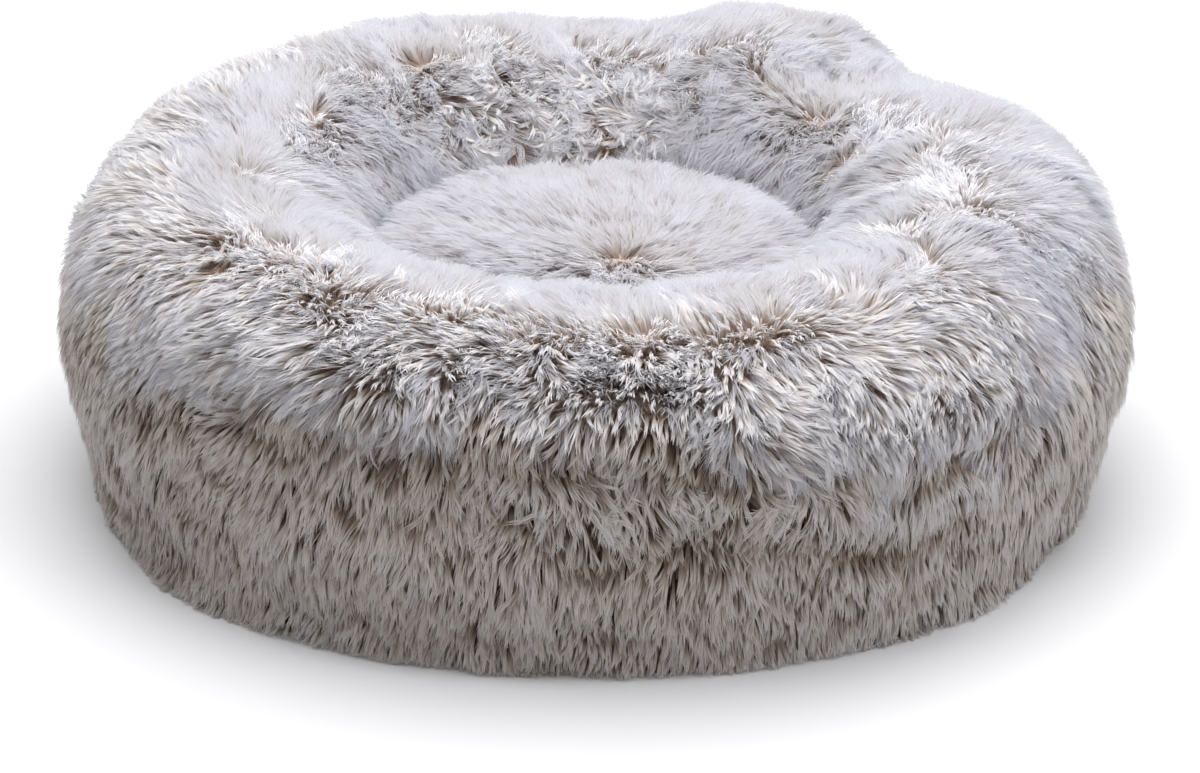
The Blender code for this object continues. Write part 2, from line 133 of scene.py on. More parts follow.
# Edges where the ring folds over itself, the upper and then the lower, as places: turn round the bed, height
FOLD_EDGES = (
    (
        (0.586, 0.115),
        (0.618, 0.134),
        (0.650, 0.150),
        (0.683, 0.146),
        (0.705, 0.149),
        (0.718, 0.155),
        (0.728, 0.146),
        (0.776, 0.144),
        (0.790, 0.134),
        (0.800, 0.126),
        (0.840, 0.119),
        (0.860, 0.121),
        (0.877, 0.128),
        (0.905, 0.123),
    ),
    (
        (0.718, 0.122),
        (0.747, 0.092),
        (0.766, 0.099),
        (0.790, 0.104),
        (0.821, 0.091),
        (0.846, 0.085),
        (0.880, 0.086),
    ),
)
FOLD_EDGE_REACH = 0.016
SHOULDER = 0.137

# A wave texture repeats each 2 pi / 20 units, so this gives one wave a millimetre
WAVES_PER_METRE = 314.16

# Zip
ZIP_RADIUS = 0.266
ZIP_FROM = math.radians(22.5)
ZIP_TO = math.radians(157.5)
ZIP_EDGE_HEIGHT = 0.017
ZIP_MIDDLE = 0.0105
TOOTH_SIZE = (0.0013, 0.00085, 0.00175)
TOOTH_EDGE = 0.0002
TOOTH_FROM = 0.00033
TOOTH_PITCH = 0.0012

# Base
BASE_RADIUS = 0.268
BASE_TOP = 0.002
BASE_UNDER = 0.0008
BINDING_OUTSIDE = 0.2699
STITCH_SIZE = (0.0004, 0.0024, 0.0005)
STITCH_EDGE = 0.00012
STITCH_HEIGHT = 0.0022
STITCH_PITCH = 0.0036
DOT_PITCH = 0.022
DOT_ROW_STEP = 0.866
DOT_ROWS = 14
DOT_RADIUS = 0.003
DOT_TAPER = 0.75
DOT_HEIGHT = 0.0009
DOT_MARGIN = 0.012

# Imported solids: edges sharper than this angle are rounded, by these widths
SHARP = math.radians(40)
BAG_EDGE = 0.0003
FILLING_EDGE = 0.004
BINDING_EDGE = 0.0005
ZIP_TAPE_EDGE = 0.0001

# Floor: it glows a little under the bed and more with distance, so that it stays white to the camera
FLOOR_SIZE = 8
GLOW_NEAR = 0.05
GLOW_FROM = 0.4
GLOW_FULL = 2.0
FILL_STRENGTH = 0.24

# Bags: node, width and length before it was sewn, and area of the cut
BAGS = (
    ("rim_bag_left", 0.47, 0.83, 0.272),
    ("rim_bag_right", 0.47, 0.83, 0.272),
    ("rim_bag_bottom", 0.526, 0.526, 0.157),
    ("centre_bag_top", 0.50, 0.50, 0.154),
    ("centre_bag_bottom", 0.277, 0.277, 0.060),
)


def linear(hex_colour):
    """An sRGB hex colour as linear RGBA."""
    parts = [int(hex_colour[i : i + 2], 16) / 255 for i in (1, 3, 5)]
    return tuple(c / 12.92 if c <= 0.04045 else ((c + 0.055) / 1.055) ** 2.4 for c in parts) + (1.0,)


def add_node(tree, kind, inputs=None, **settings):
    """Adds a node. Each input, by name or number, gets its value or the socket that feeds it."""
    node = tree.nodes.new("ShaderNode" + kind)
    for name, value in settings.items():
        setattr(node, name, value)
    for name, value in (inputs or {}).items():
        if isinstance(value, bpy.types.NodeSocket):
            tree.links.new(value, node.inputs[name])
        else:
            node.inputs[name].default_value = value
    return node


def new_material(name, **constants):
    """A Principled material with its constant sockets set."""
    material = bpy.data.materials.new(name)
    material.use_nodes = True
    shader = material.node_tree.nodes["Principled BSDF"]
    for socket, value in constants.items():
        shader.inputs[socket.replace("_", " ")].default_value = value
    return material, material.node_tree, shader


def pile_material(name, dark, pale, through):
    """Polyester faux fur, dyed taupe at the root and frosted ivory at the tip.

    Each list of colours runs from root to tip, and each strand lies somewhere between dark and pale.
    through is the share of the light that the pile lets through, which makes it glow where it is thin.
    """
    material, tree, shader = new_material(name, Roughness=0.5, Sheen_Weight=0.2, Sheen_Roughness=0.5)
    strand = add_node(tree, "UVMap", uv_map="OFBake")
    place = add_node(tree, "SeparateXYZ", {"Vector": strand.outputs["UV"]})
    ramps = []
    for colours in (dark, pale):
        ramp = add_node(tree, "ValToRGB", {"Fac": place.outputs["Y"]})
        stops = ramp.color_ramp.elements
        for _ in colours[2:]:
            stops.new(1.0)
        for number, colour in enumerate(colours):
            stops[number].position = number / (len(colours) - 1)
            stops[number].color = linear(colour)
        ramps.append(ramp)
    mixed = add_node(
        tree,
        "Mix",
        {0: place.outputs["X"], 6: ramps[0].outputs["Color"], 7: ramps[1].outputs["Color"]},
        data_type="RGBA",
    ).outputs[2]
    tree.links.new(mixed, shader.inputs["Base Color"])
    behind = add_node(tree, "BsdfTranslucent", {"Color": mixed})
    both = add_node(tree, "MixShader", {0: through, 1: shader.outputs[0], 2: behind.outputs[0]})
    tree.links.new(both.outputs[0], tree.nodes["Material Output"].inputs["Surface"])
    return material


def cloth_material(name, warp, weft, thread_mm, depth_mm, round_ring=False, **constants):
    """Woven or knitted cloth from two crossed waves of threads, with slubs in its colour.

    thread_mm is the threads' pitch. On a band that runs round the ring, the threads follow the band.
    """
    material, tree, shader = new_material(name, **constants)
    where = add_node(tree, "TexCoord").outputs["Object"]
    if round_ring:
        place = add_node(tree, "SeparateXYZ", {"Vector": where})
        turn = add_node(tree, "Math", {0: place.outputs["Y"], 1: place.outputs["X"]}, operation="ARCTAN2")
        along = add_node(tree, "Math", {0: turn.outputs[0], 1: ZIP_RADIUS}, operation="MULTIPLY")
        where = add_node(tree, "CombineXYZ", {"X": along.outputs[0], "Y": place.outputs["Z"]}).outputs[0]
    waves = [
        add_node(
            tree,
            "TexWave",
            {"Vector": where, "Scale": WAVES_PER_METRE / thread_mm, "Distortion": 0.4, "Detail": 1.0},
            bands_direction=direction,
        )
        for direction in ("X", "Y")
    ]
    both = {0: waves[0].outputs["Fac"], 1: waves[1].outputs["Fac"]}
    crossed = add_node(tree, "Math", both, operation="MULTIPLY")
    slubs = add_node(tree, "TexNoise", {"Vector": where, "Scale": 180.0, "Detail": 4.0})
    yarns = {0: slubs.outputs["Fac"], 6: linear(warp), 7: linear(weft)}
    blended = add_node(tree, "Mix", yarns, data_type="RGBA").outputs[2]
    raised = {0: crossed.outputs["Value"], 6: blended, 7: linear(warp)}
    shaded = add_node(tree, "Mix", raised, data_type="RGBA")
    tree.links.new(shaded.outputs[2], shader.inputs["Base Color"])
    relief = {"Strength": 0.6, "Distance": depth_mm / 1000, "Height": crossed.outputs["Value"]}
    bump = add_node(tree, "Bump", relief)
    tree.links.new(bump.outputs["Normal"], shader.inputs["Normal"])
    return material


def grained_material(name, low, high, grain_mm, depth_mm, pattern="TexNoise", **constants):
    """A surface whose colour and height follow one fine grain."""
    material, tree, shader = new_material(name, **constants)
    where = add_node(tree, "TexCoord").outputs["Object"]
    grain = add_node(tree, pattern, {"Vector": where, "Scale": 1000 / grain_mm}).outputs[0]
    tinted = add_node(tree, "Mix", {0: grain, 6: linear(low), 7: linear(high)}, data_type="RGBA")
    tree.links.new(tinted.outputs[2], shader.inputs["Base Color"])
    bump = add_node(tree, "Bump", {"Strength": 0.6, "Distance": depth_mm / 1000, "Height": grain})
    tree.links.new(bump.outputs["Normal"], shader.inputs["Normal"])
    return material


def ride(piece):
    """Everything soft is part of the bed's own body."""
    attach(piece, "bed")
    return piece


def new_piece(name, mesh, material):
    """Puts a mesh into the scene with its material."""
    piece = bpy.data.objects.new(name, mesh)
    bpy.context.scene.collection.objects.link(piece)
    mesh.materials.clear()
    mesh.materials.append(material)
    return piece


def finished_mesh(piece):
    """The piece's mesh with its modifiers applied."""
    bpy.context.view_layer.update()
    graph = bpy.context.evaluated_depsgraph_get()
    mesh = bpy.data.meshes.new_from_object(piece.evaluated_get(graph))
    piece.modifiers.clear()
    piece.data = mesh
    return mesh


def numbers(items, name, width, kind=np.float32):
    """An attribute of a mesh's items as an array."""
    values = np.empty(len(items) * width, kind)
    items.foreach_get(name, values)
    return values.reshape(-1, width)


def outer_sheet(node, core_node, name, material):
    """A sewn panel's backing: the outer faces of its solid, smoothed, under the pile."""
    core = bmesh.new()
    core.from_mesh(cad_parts[core_node].data)
    within = BVHTree.FromBMesh(core)
    core.free()
    bm = bmesh.new()
    bm.from_mesh(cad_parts[node].data)
    bmesh.ops.remove_doubles(bm, verts=bm.verts, dist=MERGE)
    buried = [
        vert
        for vert in bm.verts
        if within.find_nearest(vert.co)[3] < OUTER_SHEET_FROM
        or (node == "centre_cover" and (vert.co.xy.length > PAD_PANEL_TO or vert.co.z < PAD_PANEL_FROM))
    ]
    bmesh.ops.delete(bm, geom=buried, context="VERTS")
    bm.normal_update()
    for vert in bm.verts:
        vert.co -= vert.normal * BACKING_DEPTH
    mesh = bpy.data.meshes.new(name)
    bm.to_mesh(mesh)
    bm.free()
    piece = new_piece(name, mesh, material)
    smooth = piece.modifiers.new("smooth", "SUBSURF")
    smooth.levels = smooth.render_levels = 2
    finished_mesh(piece)
    return piece


def swell(piece):
    """Cloth under light pressure from the filling, held at its seams. No point moves past the cap."""
    before = numbers(piece.data.vertices, "co", 3)
    bm = bmesh.new()
    bm.from_mesh(piece.data)
    held = [vert.index for vert in bm.verts if vert.is_boundary]
    bm.free()
    piece.vertex_groups.new(name="seam").add(held, 1.0, "REPLACE")
    cloth = piece.modifiers.new("swell", "CLOTH")
    settings = cloth.settings
    settings.quality = 5
    settings.mass = 0.3
    settings.tension_stiffness = settings.compression_stiffness = 12
    settings.shear_stiffness = 6
    settings.bending_stiffness = 2
    settings.use_pressure = True
    settings.uniform_pressure_force = 4
    settings.effector_weights.gravity = 0
    settings.vertex_group_mass = "seam"
    cloth.point_cache.frame_start, cloth.point_cache.frame_end = 1, SWELL_FRAMES
    for number in range(1, SWELL_FRAMES + 1):
        bpy.context.scene.frame_set(number)
    mesh = finished_mesh(piece)
    bpy.context.scene.frame_set(1)
    moved = numbers(mesh.vertices, "co", 3) - before
    far = np.linalg.norm(moved, axis=1, keepdims=True)
    capped = before + moved * np.minimum(1, SWELL_CAP / np.maximum(far, MERGE))
    mesh.vertices.foreach_set("co", capped.ravel())
    mesh.update()
    piece.vertex_groups.clear()


def close_panel(piece, is_nest_edge, shift):
    """Turns the panel's nest edge in as its seam allowance and gives the backing its thickness."""
    bm = bmesh.new()
    bm.from_mesh(piece.data)
    edges = [e for e in bm.edges if e.is_boundary and all(is_nest_edge(v.co) for v in e.verts)]
    made = bmesh.ops.extrude_edge_only(bm, edges=edges)["geom"]
    for vert in (item for item in made if isinstance(item, bmesh.types.BMVert)):
        vert.co = shift(vert.co)
    bmesh.ops.recalc_face_normals(bm, faces=bm.faces)
    bm.to_mesh(piece.data)
    bm.free()
    thick = piece.modifiers.new("backing", "SOLIDIFY")
    thick.thickness = BACKING_THICK
    thick.offset = -1
    finished_mesh(piece)
    piece.data.shade_smooth()
    ride(piece)


def drift(points, size, seed, waves=14):
    """A smooth random value of about -1 to 1 at each point that changes over about this size."""
    rng = np.random.default_rng(seed)
    ways = rng.normal(size=(3, waves))
    ways *= math.tau / size * rng.uniform(0.5, 1.2, waves) / np.linalg.norm(ways, axis=0)
    return np.sin(points @ ways + rng.uniform(0, math.tau, waves)).sum(1) / math.sqrt(waves / 2)


def unit(vectors):
    """The vectors at length one."""
    return vectors / np.maximum(np.linalg.norm(vectors, axis=-1, keepdims=True), 1e-9)


def scatter(piece, seed):
    """Lock roots over a sheet, one to each small cell of space, with the sheet's directions there."""
    mesh = piece.data
    mesh.calc_loop_triangles()
    points = numbers(mesh.vertices, "co", 3)
    outward = numbers(mesh.vertices, "normal", 3)
    corners = numbers(mesh.loop_triangles, "vertices", 3, np.int32)
    a, b, c = (points[corners[:, i]] for i in range(3))
    area = np.linalg.norm(np.cross(b - a, c - a), axis=1) / 2
    rng = np.random.default_rng(seed)
    tries = int(area.sum() / LOCK_SPACING**2 * TRIES_PER_CELL)
    pick = corners[rng.choice(len(area), tries, p=area / area.sum())]
    weights = rng.dirichlet((1, 1, 1), tries)[:, :, None]
    roots = (points[pick] * weights).sum(1)
    normals = unit((outward[pick] * weights).sum(1))
    cells = np.floor(roots / LOCK_SPACING)
    off_middle = np.linalg.norm(roots / LOCK_SPACING - cells - 0.5, axis=1)
    order = np.argsort(off_middle, kind="stable")
    _, first = np.unique(cells[order].astype(int), axis=0, return_index=True)
    kept = np.sort(order[first])
    return roots[kept], normals[kept]


def between(value, start, span):
    """0 before the start, 1 past the whole span, straight between. A negative span runs the other way."""
    return np.clip((value - start) / span, 0, 1)


def hump(value, middle, reach, power=2):
    """1 at the middle and next to nothing past the reach. A higher power gives it a flatter top."""
    return np.exp(-(((value - middle) / reach) ** power))


def zones(roots):
    """Where each lock grows. All but the radius and the angle are shares from 0 to 1."""
    radius = np.hypot(roots[:, 0], roots[:, 1])
    angle = np.arctan2(roots[:, 1], roots[:, 0])
    height = roots[:, 2]
    on_wall = radius > WALL_RADIUS
    front = np.clip(-np.sin(angle), 0, 1)
    wall = below_shoulder(angle, height + 0.010 * drift(roots, 0.045, 16)) * on_wall
    over, under = by_folds(angle, height, on_wall)
    near_floor = between(height, FLOOR_ZONE, -FLOOR_ZONE) * on_wall
    by_zip = on_wall & (angle > ZIP_FROM - ZIP_MARGIN) & (angle < ZIP_TO + ZIP_MARGIN)
    leftward = between(-roots[:, 0], 0.06, 0.10)
    shoulder = between(radius + 0.006 * drift(roots, 0.03, 15), SHOULDER_RADIUS, 0.012)
    shoulder *= between(front + 0.7 * leftward, 0.35, 0.35) * (1 - wall) * (height > 0.1)
    return SimpleNamespace(
        radius=radius,
        angle=angle,
        on_wall=on_wall,
        front=front,
        wall=wall,
        wild=ruffled(radius, angle, height),
        over=over,
        under=under,
        near_floor=near_floor,
        skirt=near_floor * sum(share * hump(np.degrees(angle), way, far, 4) for way, far, share in SKIRTS),
        behind=hump(np.degrees(angle), 95, 100, 4) * (height > 0.155),
        shoulder=shoulder,
        above_zip=np.where(by_zip, np.clip(0.40 + 0.6 * (height - ZIP_EDGE_HEIGHT) / 0.028, 0.40, 1), 1),
    )


def nap(roots, normals, zone, is_pad, rng):
    """Where each lock is combed to, its side of the ring's parting, and how near a whorl it is."""
    if is_pad:
        comb = roots - np.array(SWIRLS[0][0])
        blend = np.ones(len(roots))
    else:
        round_ring = np.stack([-roots[:, 1], roots[:, 0], 0 * zone.radius], 1) / zone.radius[:, None]
        parted_at = PARTING_RADIUS + PARTING_FORWARD * zone.front**2 + 0.012 * drift(roots, 0.05, 12)
        blend = np.where(zone.wall > 0.3, 1.0, np.tanh((zone.radius - parted_at) / 0.02))
        aside = 0.35 * drift(roots, 0.06, 13) * (1 - zone.wall)
        aside -= 0.2 * np.clip(0.2 - roots[:, 0] / 0.12, 0, 1) * zone.on_wall
        comb = np.cross(round_ring, normals) * blend[:, None] + round_ring * aside[:, None]
    comb = unit(comb - (comb * normals).sum(1, keepdims=True) * normals)
    turn = (0.40 * drift(roots, 0.11, 3) + 0.26 * drift(roots, 0.040, 4)) * (1 - 0.75 * zone.wall)
    turn *= 0.5 if is_pad else 1.0
    turn += zone.wild * (1.1 * drift(roots, 0.030, 5) + 0.9 * drift(roots, 0.016, 6))
    comb = turned_in(comb, normals, turn)
    swirled = np.zeros(len(roots))
    for middle, reach, twist in SWIRLS[0 if is_pad else 1 :]:
        away = roots - np.array(middle)
        far = np.linalg.norm(away, axis=1)
        pull = np.exp(-((far / reach) ** 2))[:, None]
        swirled = np.maximum(swirled, np.exp(-((far / 0.4 / reach) ** 2)))
        flat = unit(away - (away * normals).sum(1, keepdims=True) * normals)
        spun = turned_in(flat, normals, twist + rng.normal(0, 0.5, len(roots)))
        comb = unit(comb * (1 - 0.8 * pull) + spun * pull)
    return comb, blend, swirled


def lay(roots, normals, is_pad, seed):
    """How each lock lies: its direction, lean, length and curl, and how pale it is."""
    rng = np.random.default_rng(seed)
    count = len(roots)
    zone = zones(roots)
    wall, wild, over, under = zone.wall, zone.wild, zone.over, zone.under
    comb, blend, swirled = nap(roots, normals, zone, is_pad, rng)
    side = np.abs(blend)
    by_seam = hump(zone.radius, PAD_SEAM, 0.012) * is_pad

    # Longer on the cushion and over a fold's edge, shorter on the crown, near the floor and above the zip
    length = PILE_LENGTH * (1.0 + 0.10 * drift(roots, 0.05, 7) + rng.uniform(-0.16, 0.12, count))
    length *= 1 - 0.12 * (1 - wall) + 0.12 * is_pad - 0.3 * zone.near_floor + 0.35 * zone.skirt
    length *= zone.above_zip * (1 + 0.15 * over - 0.15 * under) * (1 - 0.25 * swirled)

    # Paler on the crown and darker where roots show. Over and under a fold's edge, down the walls, on the
    # shoulder, at the right and on the front inner slope, the tone also paints light and shade
    parted = (0.4 + 0.6 * zone.front) * between(side, 0.5, -0.5)
    parted *= np.clip(0.9 * drift(roots, 0.040, 14), 0, 1)
    # Darker down the walls, partly the dark roots that the hanging pile shows and partly painted shade below
    # the crown; paler on the shoulder, a painted lift against the shade on that steep face
    tone = 0.98 - 0.62 * wall + 0.14 * zone.shoulder - 0.06 * wild - 0.24 * parted
    tone -= (0.15 if is_pad else 0.40) * swirled
    # Paler over a fold's edge, a painted highlight, and darker under it, painted shade; paler on the wall at
    # the right, painted light from that side
    tone += 0.45 * over - 0.38 * under + 0.16 * zone.on_wall * between(roots[:, 0], 0.08, 0.15)
    # Paler on the inner slope at the front, a painted lift against the shade that falls there
    tone += 0.08 * zone.near_floor - 0.06 * is_pad + 0.2 * zone.front * between(-1.6 * blend, 0.4, 1)
    tone += 0.08 * drift(roots, 0.045, 11) + rng.normal(0, 0.06, count)

    waver = 0.14 * drift(roots, 0.022, 8) + rng.normal(0, 0.08, count)
    curl = rng.normal(0, 0.30 - 0.2 * wall + 1.2 * wild, count)
    curl += (0.3 - 0.2 * wall) * drift(roots, 0.020, 10)
    ragged = np.maximum(wall, np.maximum(0.8 * wild, zone.shoulder))
    return {
        "root": roots,
        "normal": normals,
        "comb": comb,
        "length": length,
        "stand": (0.4 + 0.6 * side) * (1 - 0.2 * zone.behind) * (1 - 0.4 * by_seam),
        "outward": 0.75 * zone.skirt + 0.55 * over - 0.2 * under,
        "rise": PILE_RISE * (1 - 0.14 * wall) + SKIRT_RISE * zone.skirt + FOLD_RISE * (over - under),
        "waver": waver,
        "curl": curl,
        "tone": tone,
        "shaggy": ragged > rng.uniform(0.4, 1.4, count) - 0.6 * wall + is_pad,
    }


def by_folds(angle, height, on_wall):
    """How near each lock is to a fold's edge: over it, and in the shade under it. The tone paints a highlight
    over the edge and shade under it.
    """
    turn = (angle / math.tau) % 1.0
    over, under = np.zeros(len(turn)), np.zeros(len(turn))
    for edge in FOLD_EDGES:
        turns, heights = zip(*edge)
        above = (height - np.interp(turn, turns, heights)) / FOLD_EDGE_REACH
        along = between(turn, turns[0], 0.02) * between(turn, turns[-1], -0.02) * on_wall
        over = np.maximum(over, along * np.exp(-((above - 0.45) ** 2) / 0.45))
        under = np.maximum(under, along * np.exp(-((above + 0.95) ** 2) / 0.45))
    return over, under


def below_shoulder(angle, height):
    """How far each lock is below the shoulder, which in front is the upper fold's edge."""
    turn = (angle / math.tau) % 1.0
    turns, heights = zip(*FOLD_EDGES[0])
    folded = between(turn, turns[0], 0.04) * between(turn, turns[-1], -0.03)
    middle = SHOULDER + (np.interp(turn, turns, heights) - 0.011 - SHOULDER) * folded
    return np.clip((middle - height) / (0.045 - 0.031 * folded) + 0.5, 0, 1)


def ruffled(radius, angle, height):
    """How ruffled the pile is: on the far inner wall, and less under the front fold."""
    degrees = np.degrees(angle)
    inner = hump(radius, 0.150, 0.040) * hump(degrees, 100, 38, 4) * (height > 0.115)
    front = hump(degrees, -84, 20, 4) * hump(height, 0.108, 0.024) * (radius > 0.22)
    return np.clip(inner + 0.45 * front, 0, 1)


def turned_in(flat, normals, turn):
    """Tangent directions turned about their normals."""
    turn = turn[:, None]
    return np.cos(turn) * flat + np.sin(turn) * np.cross(normals, flat)


def lock_paths(locks, style, rng):
    """Each lock's path at length one: it bends over from its root's lean to its tip's and curls aside."""
    normals, comb = locks["normal"], locks["comb"]
    along = np.array(style["along"])
    middle = (along[:-1] + along[1:]) / 2
    root_lean = style["lean"][0] * locks["stand"] + locks["waver"] - 0.5 * locks["outward"]
    tip_lean = style["lean"][1] * locks["stand"] + locks["waver"] - 1.0 * locks["outward"]
    lean = root_lean[:, None] + (tip_lean - root_lean)[:, None] * middle**0.8
    spin = rng.normal(0, 0.16, len(normals))[:, None] + locks["curl"][:, None] * (middle - 0.15)
    across = np.cross(normals, comb)
    lying = np.cos(spin)[..., None] * comb[:, None] + np.sin(spin)[..., None] * across[:, None]
    way = np.cos(lean)[..., None] * normals[:, None] + np.sin(lean)[..., None] * lying
    path = np.cumsum(way * np.diff(along)[:, None], 1)
    return across, np.concatenate([np.zeros((len(normals), 1, 3)), path], 1)


def strand_points(locks, style, across, path, rng):
    """Points along each strand, which starts beside its lock's root and draws in to the lock's tip."""
    roots, normals, comb = locks["root"], locks["normal"], locks["comb"]
    count, strands = len(roots), style["strands"]
    along, clump = np.array(style["along"]), np.array(style["clump"])
    each = (np.arange(strands) + 0.5) / strands
    about = rng.uniform(0, math.tau, (count, 1)) + np.arange(strands) * GOLDEN_TURN
    about = about + rng.normal(0, 0.3, (count, strands))
    reach = LOCK_RADIUS * np.sqrt(each) * rng.uniform(0.75, 1.25, (count, strands))
    offset = (reach * np.cos(about))[..., None] * comb[:, None]
    offset = offset + (reach * np.sin(about))[..., None] * across[:, None]
    length = locks["length"][:, None] * rng.uniform(0.82, 1.05, (count, strands))
    stray = rng.normal(0, style["stray"], (count, strands, 3))
    stray *= np.where(rng.random((count, strands, 1)) < WILD_STRANDS, WILD_STRAY, 1.0)
    points = roots[:, None, None] + offset[:, :, None] * (1 - clump)[:, None]
    points = points + path[:, None] * length[..., None, None]
    points = points + (stray * length[..., None])[:, :, None] * (along**1.6)[:, None]
    rise = ((points - roots[:, None, None]) * normals[:, None, None]).sum(-1, keepdims=True)
    most = locks["rise"][:, None, None, None]
    points = points - (rise - most * np.tanh(rise / most)) * normals[:, None, None]
    points = points.reshape(-1, len(along), 3)
    low = FLOOR_CLEARANCE + rng.uniform(0, 0.0015, len(points))[:, None]
    points[..., 2] = np.maximum(points[..., 2], low)
    return points


def strand_blades(points, style, facing, across, rng):
    """A flat blade along each strand, turned outwards: its corners in order, and how each is shaded."""
    widths = np.array(style["widths"])
    parts = len(widths)
    twist = rng.uniform(-0.6, 0.6, len(points))[:, None]
    chord = unit(points[:, -1] - points[:, 0])
    side = unit(np.cross(chord, np.cos(twist) * facing + np.sin(twist) * across))
    flip = np.sign((np.cross(side, chord) * facing).sum(1, keepdims=True))
    side *= np.where(flip == 0, 1, flip)
    half = style["width"] / 2 * widths[:, None] * side[:, None]
    half = half * rng.uniform(0.7, 1.25, (len(points), 1, 1))
    body, tip = points[:, :parts], points[:, parts:]
    pairs = np.stack([body - half, body + half], 2).reshape(len(points), -1, 3)
    corners = np.concatenate([pairs, tip], 1).reshape(-1, 3)
    step = unit(np.gradient(points, axis=1))
    face_way = unit(np.cross(side[:, None], step))
    shade = unit((1 - style["facing"]) * face_way + style["facing"] * facing[:, None])
    shade = np.concatenate([np.repeat(shade[:, :parts], 2, 1), shade[:, parts:]], 1).reshape(-1, 3)
    return corners, shade


def strand_mesh(name, corners, shade, along, tone):
    """One mesh of many strands. Its UV map holds each strand's tone across and the way to its tip up."""
    parts = len(along) - 1
    pattern = [2 * part + step for part in range(parts - 1) for step in (1, 3, 2, 0)]
    pattern = np.array(pattern + [2 * parts - 1, 2 * parts, 2 * parts - 2])
    loops = (pattern + (2 * parts + 1) * np.arange(len(tone))[:, None]).ravel()
    sizes = np.tile([4] * (parts - 1) + [3], len(tone))
    mesh = bpy.data.meshes.new(name)
    mesh.vertices.add(len(corners))
    mesh.vertices.foreach_set("co", corners.astype(np.float32).ravel())
    mesh.loops.add(len(loops))
    mesh.loops.foreach_set("vertex_index", loops.astype(np.int32))
    mesh.polygons.add(len(sizes))
    mesh.polygons.foreach_set("loop_start", (np.cumsum(sizes) - sizes).astype(np.int32))
    mesh.polygons.foreach_set("use_smooth", np.ones(len(sizes), bool))
    mesh.update()
    at_side = np.array([0.0, 1.0] * parts + [0.5]) - 0.5
    at_height = np.repeat(along, 2)[:-1]
    u = (tone[:, None] + UV_SPAN * at_side)[:, pattern]
    v = np.tile(at_height[pattern], (len(tone), 1))
    uv = np.stack([u, v], -1).astype(np.float32)
    mesh.uv_layers.new(name="OFBake").data.foreach_set("uv", uv.ravel())
    mesh.normals_split_custom_set_from_vertices(shade.astype(np.float32))
    return mesh


def grow(name, locks, style, material, seed):
    """One piece of pile: every lock's strands, each paler or darker than its neighbour by a speckle."""
    rng = np.random.default_rng(seed)
    strands = style["strands"]
    across, path = lock_paths(locks, style, rng)
    points = strand_points(locks, style, across, path, rng)
    facing = np.repeat(locks["normal"], strands, 0)
    corners, shade = strand_blades(points, style, facing, np.repeat(across, strands, 0), rng)
    tone = locks["tone"][:, None] + rng.normal(0, style["speckle"], (len(across), strands))
    tone = np.clip(tone, 0.02, 0.98).ravel()
    mesh = strand_mesh(name, corners, shade, np.array(style["along"]), tone)
    ride(new_piece(name, mesh, material))


def make_fur(silky, shaggy, backing):
    """Two panels round the ring and the disc of the centre cushion, each with its pile.

    Locks are taken in their order round the ring, and each kind is cut into pieces of a fair size.
    """
    panels = (
        ("rim_cover_front", "rim_fill", "rim_%s_front", 21),
        ("rim_cover_back", "rim_fill", "rim_%s_back", 22),
        ("centre_cover", "centre_fill", "centre_%s", 23),
    )
    for node, core, name, seed in panels:
        is_pad = node == "centre_cover"
        sheet = outer_sheet(node, core, name % "backing", backing)
        swell(sheet)
        roots, normals = scatter(sheet, seed)
        locks = lay(roots, normals, is_pad, seed)
        round_order = np.argsort(np.arctan2(roots[:, 1], roots[:, 0]), kind="stable")
        is_shaggy = locks.pop("shaggy")[round_order]
        for style, word, material, pieces, chosen in (
            (SILKY, "silky", silky, 1 if is_pad else 4, round_order[~is_shaggy]),
            (SHAGGY, "shaggy", shaggy, 4, round_order[is_shaggy]),
        ):
            for number, part in enumerate(np.array_split(chosen, pieces) if len(chosen) else ()):
                some = {key: value[part] for key, value in locks.items()}
                grow(f"{name % 'pile'}_{word}_{number + 1}", some, style, material, seed + 10 * number)
        if is_pad:
            close_panel(
                sheet,
                lambda co: co.xy.length > PAD_SEAM_BEYOND,
                lambda co: Vector((co.x * PAD_TURN_OUT, co.y * PAD_TURN_OUT, co.z - PAD_TURN_DOWN)),
            )
        else:
            close_panel(
                sheet,
                lambda co: co.xy.length < SEAM_WITHIN,
                lambda co: Vector((co.x, co.y, co.z - SEAM_TURN_IN)),
            )
        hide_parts(node)


def dressed(node, name, material, edge):
    """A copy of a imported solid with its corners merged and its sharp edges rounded."""
    bm = bmesh.new()
    bm.from_mesh(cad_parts[node].data)
    bmesh.ops.remove_doubles(bm, verts=bm.verts, dist=MERGE)
    bmesh.ops.recalc_face_normals(bm, faces=bm.faces)
    sharp = [item for item in bm.edges if item.calc_face_angle() > SHARP]
    bmesh.ops.bevel(
        bm,
        geom=sharp,
        offset=edge,
        offset_type="OFFSET",
        affect="EDGES",
        segments=2,
        profile=0.5,
        material=-1,
        clamp_overlap=True,
    )
    mesh = bpy.data.meshes.new(name)
    bm.to_mesh(mesh)
    bm.free()
    mesh.shade_smooth()
    mesh.set_sharp_from_angle(angle=SHARP)
    piece = ride(new_piece(name, mesh, material))
    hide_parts(node)
    return piece


def repeated(name, bm, places, material):
    """One small closed shape set at every place, as one piece."""
    shape = np.array([vert.co[:] for vert in bm.verts])
    faces = [[vert.index for vert in face.verts] for face in bm.faces]
    bm.free()
    turns = np.array([place.to_3x3() for place in places])
    middles = np.array([place.translation for place in places])
    points = np.einsum("pij,vj->pvi", turns, shape) + middles[:, None]
    mesh = bpy.data.meshes.new(name)
    every = [[corner + len(shape) * n for corner in face] for n in range(len(places)) for face in faces]
    mesh.from_pydata(points.reshape(-1, 3).tolist(), [], every)
    return ride(new_piece(name, mesh, material))


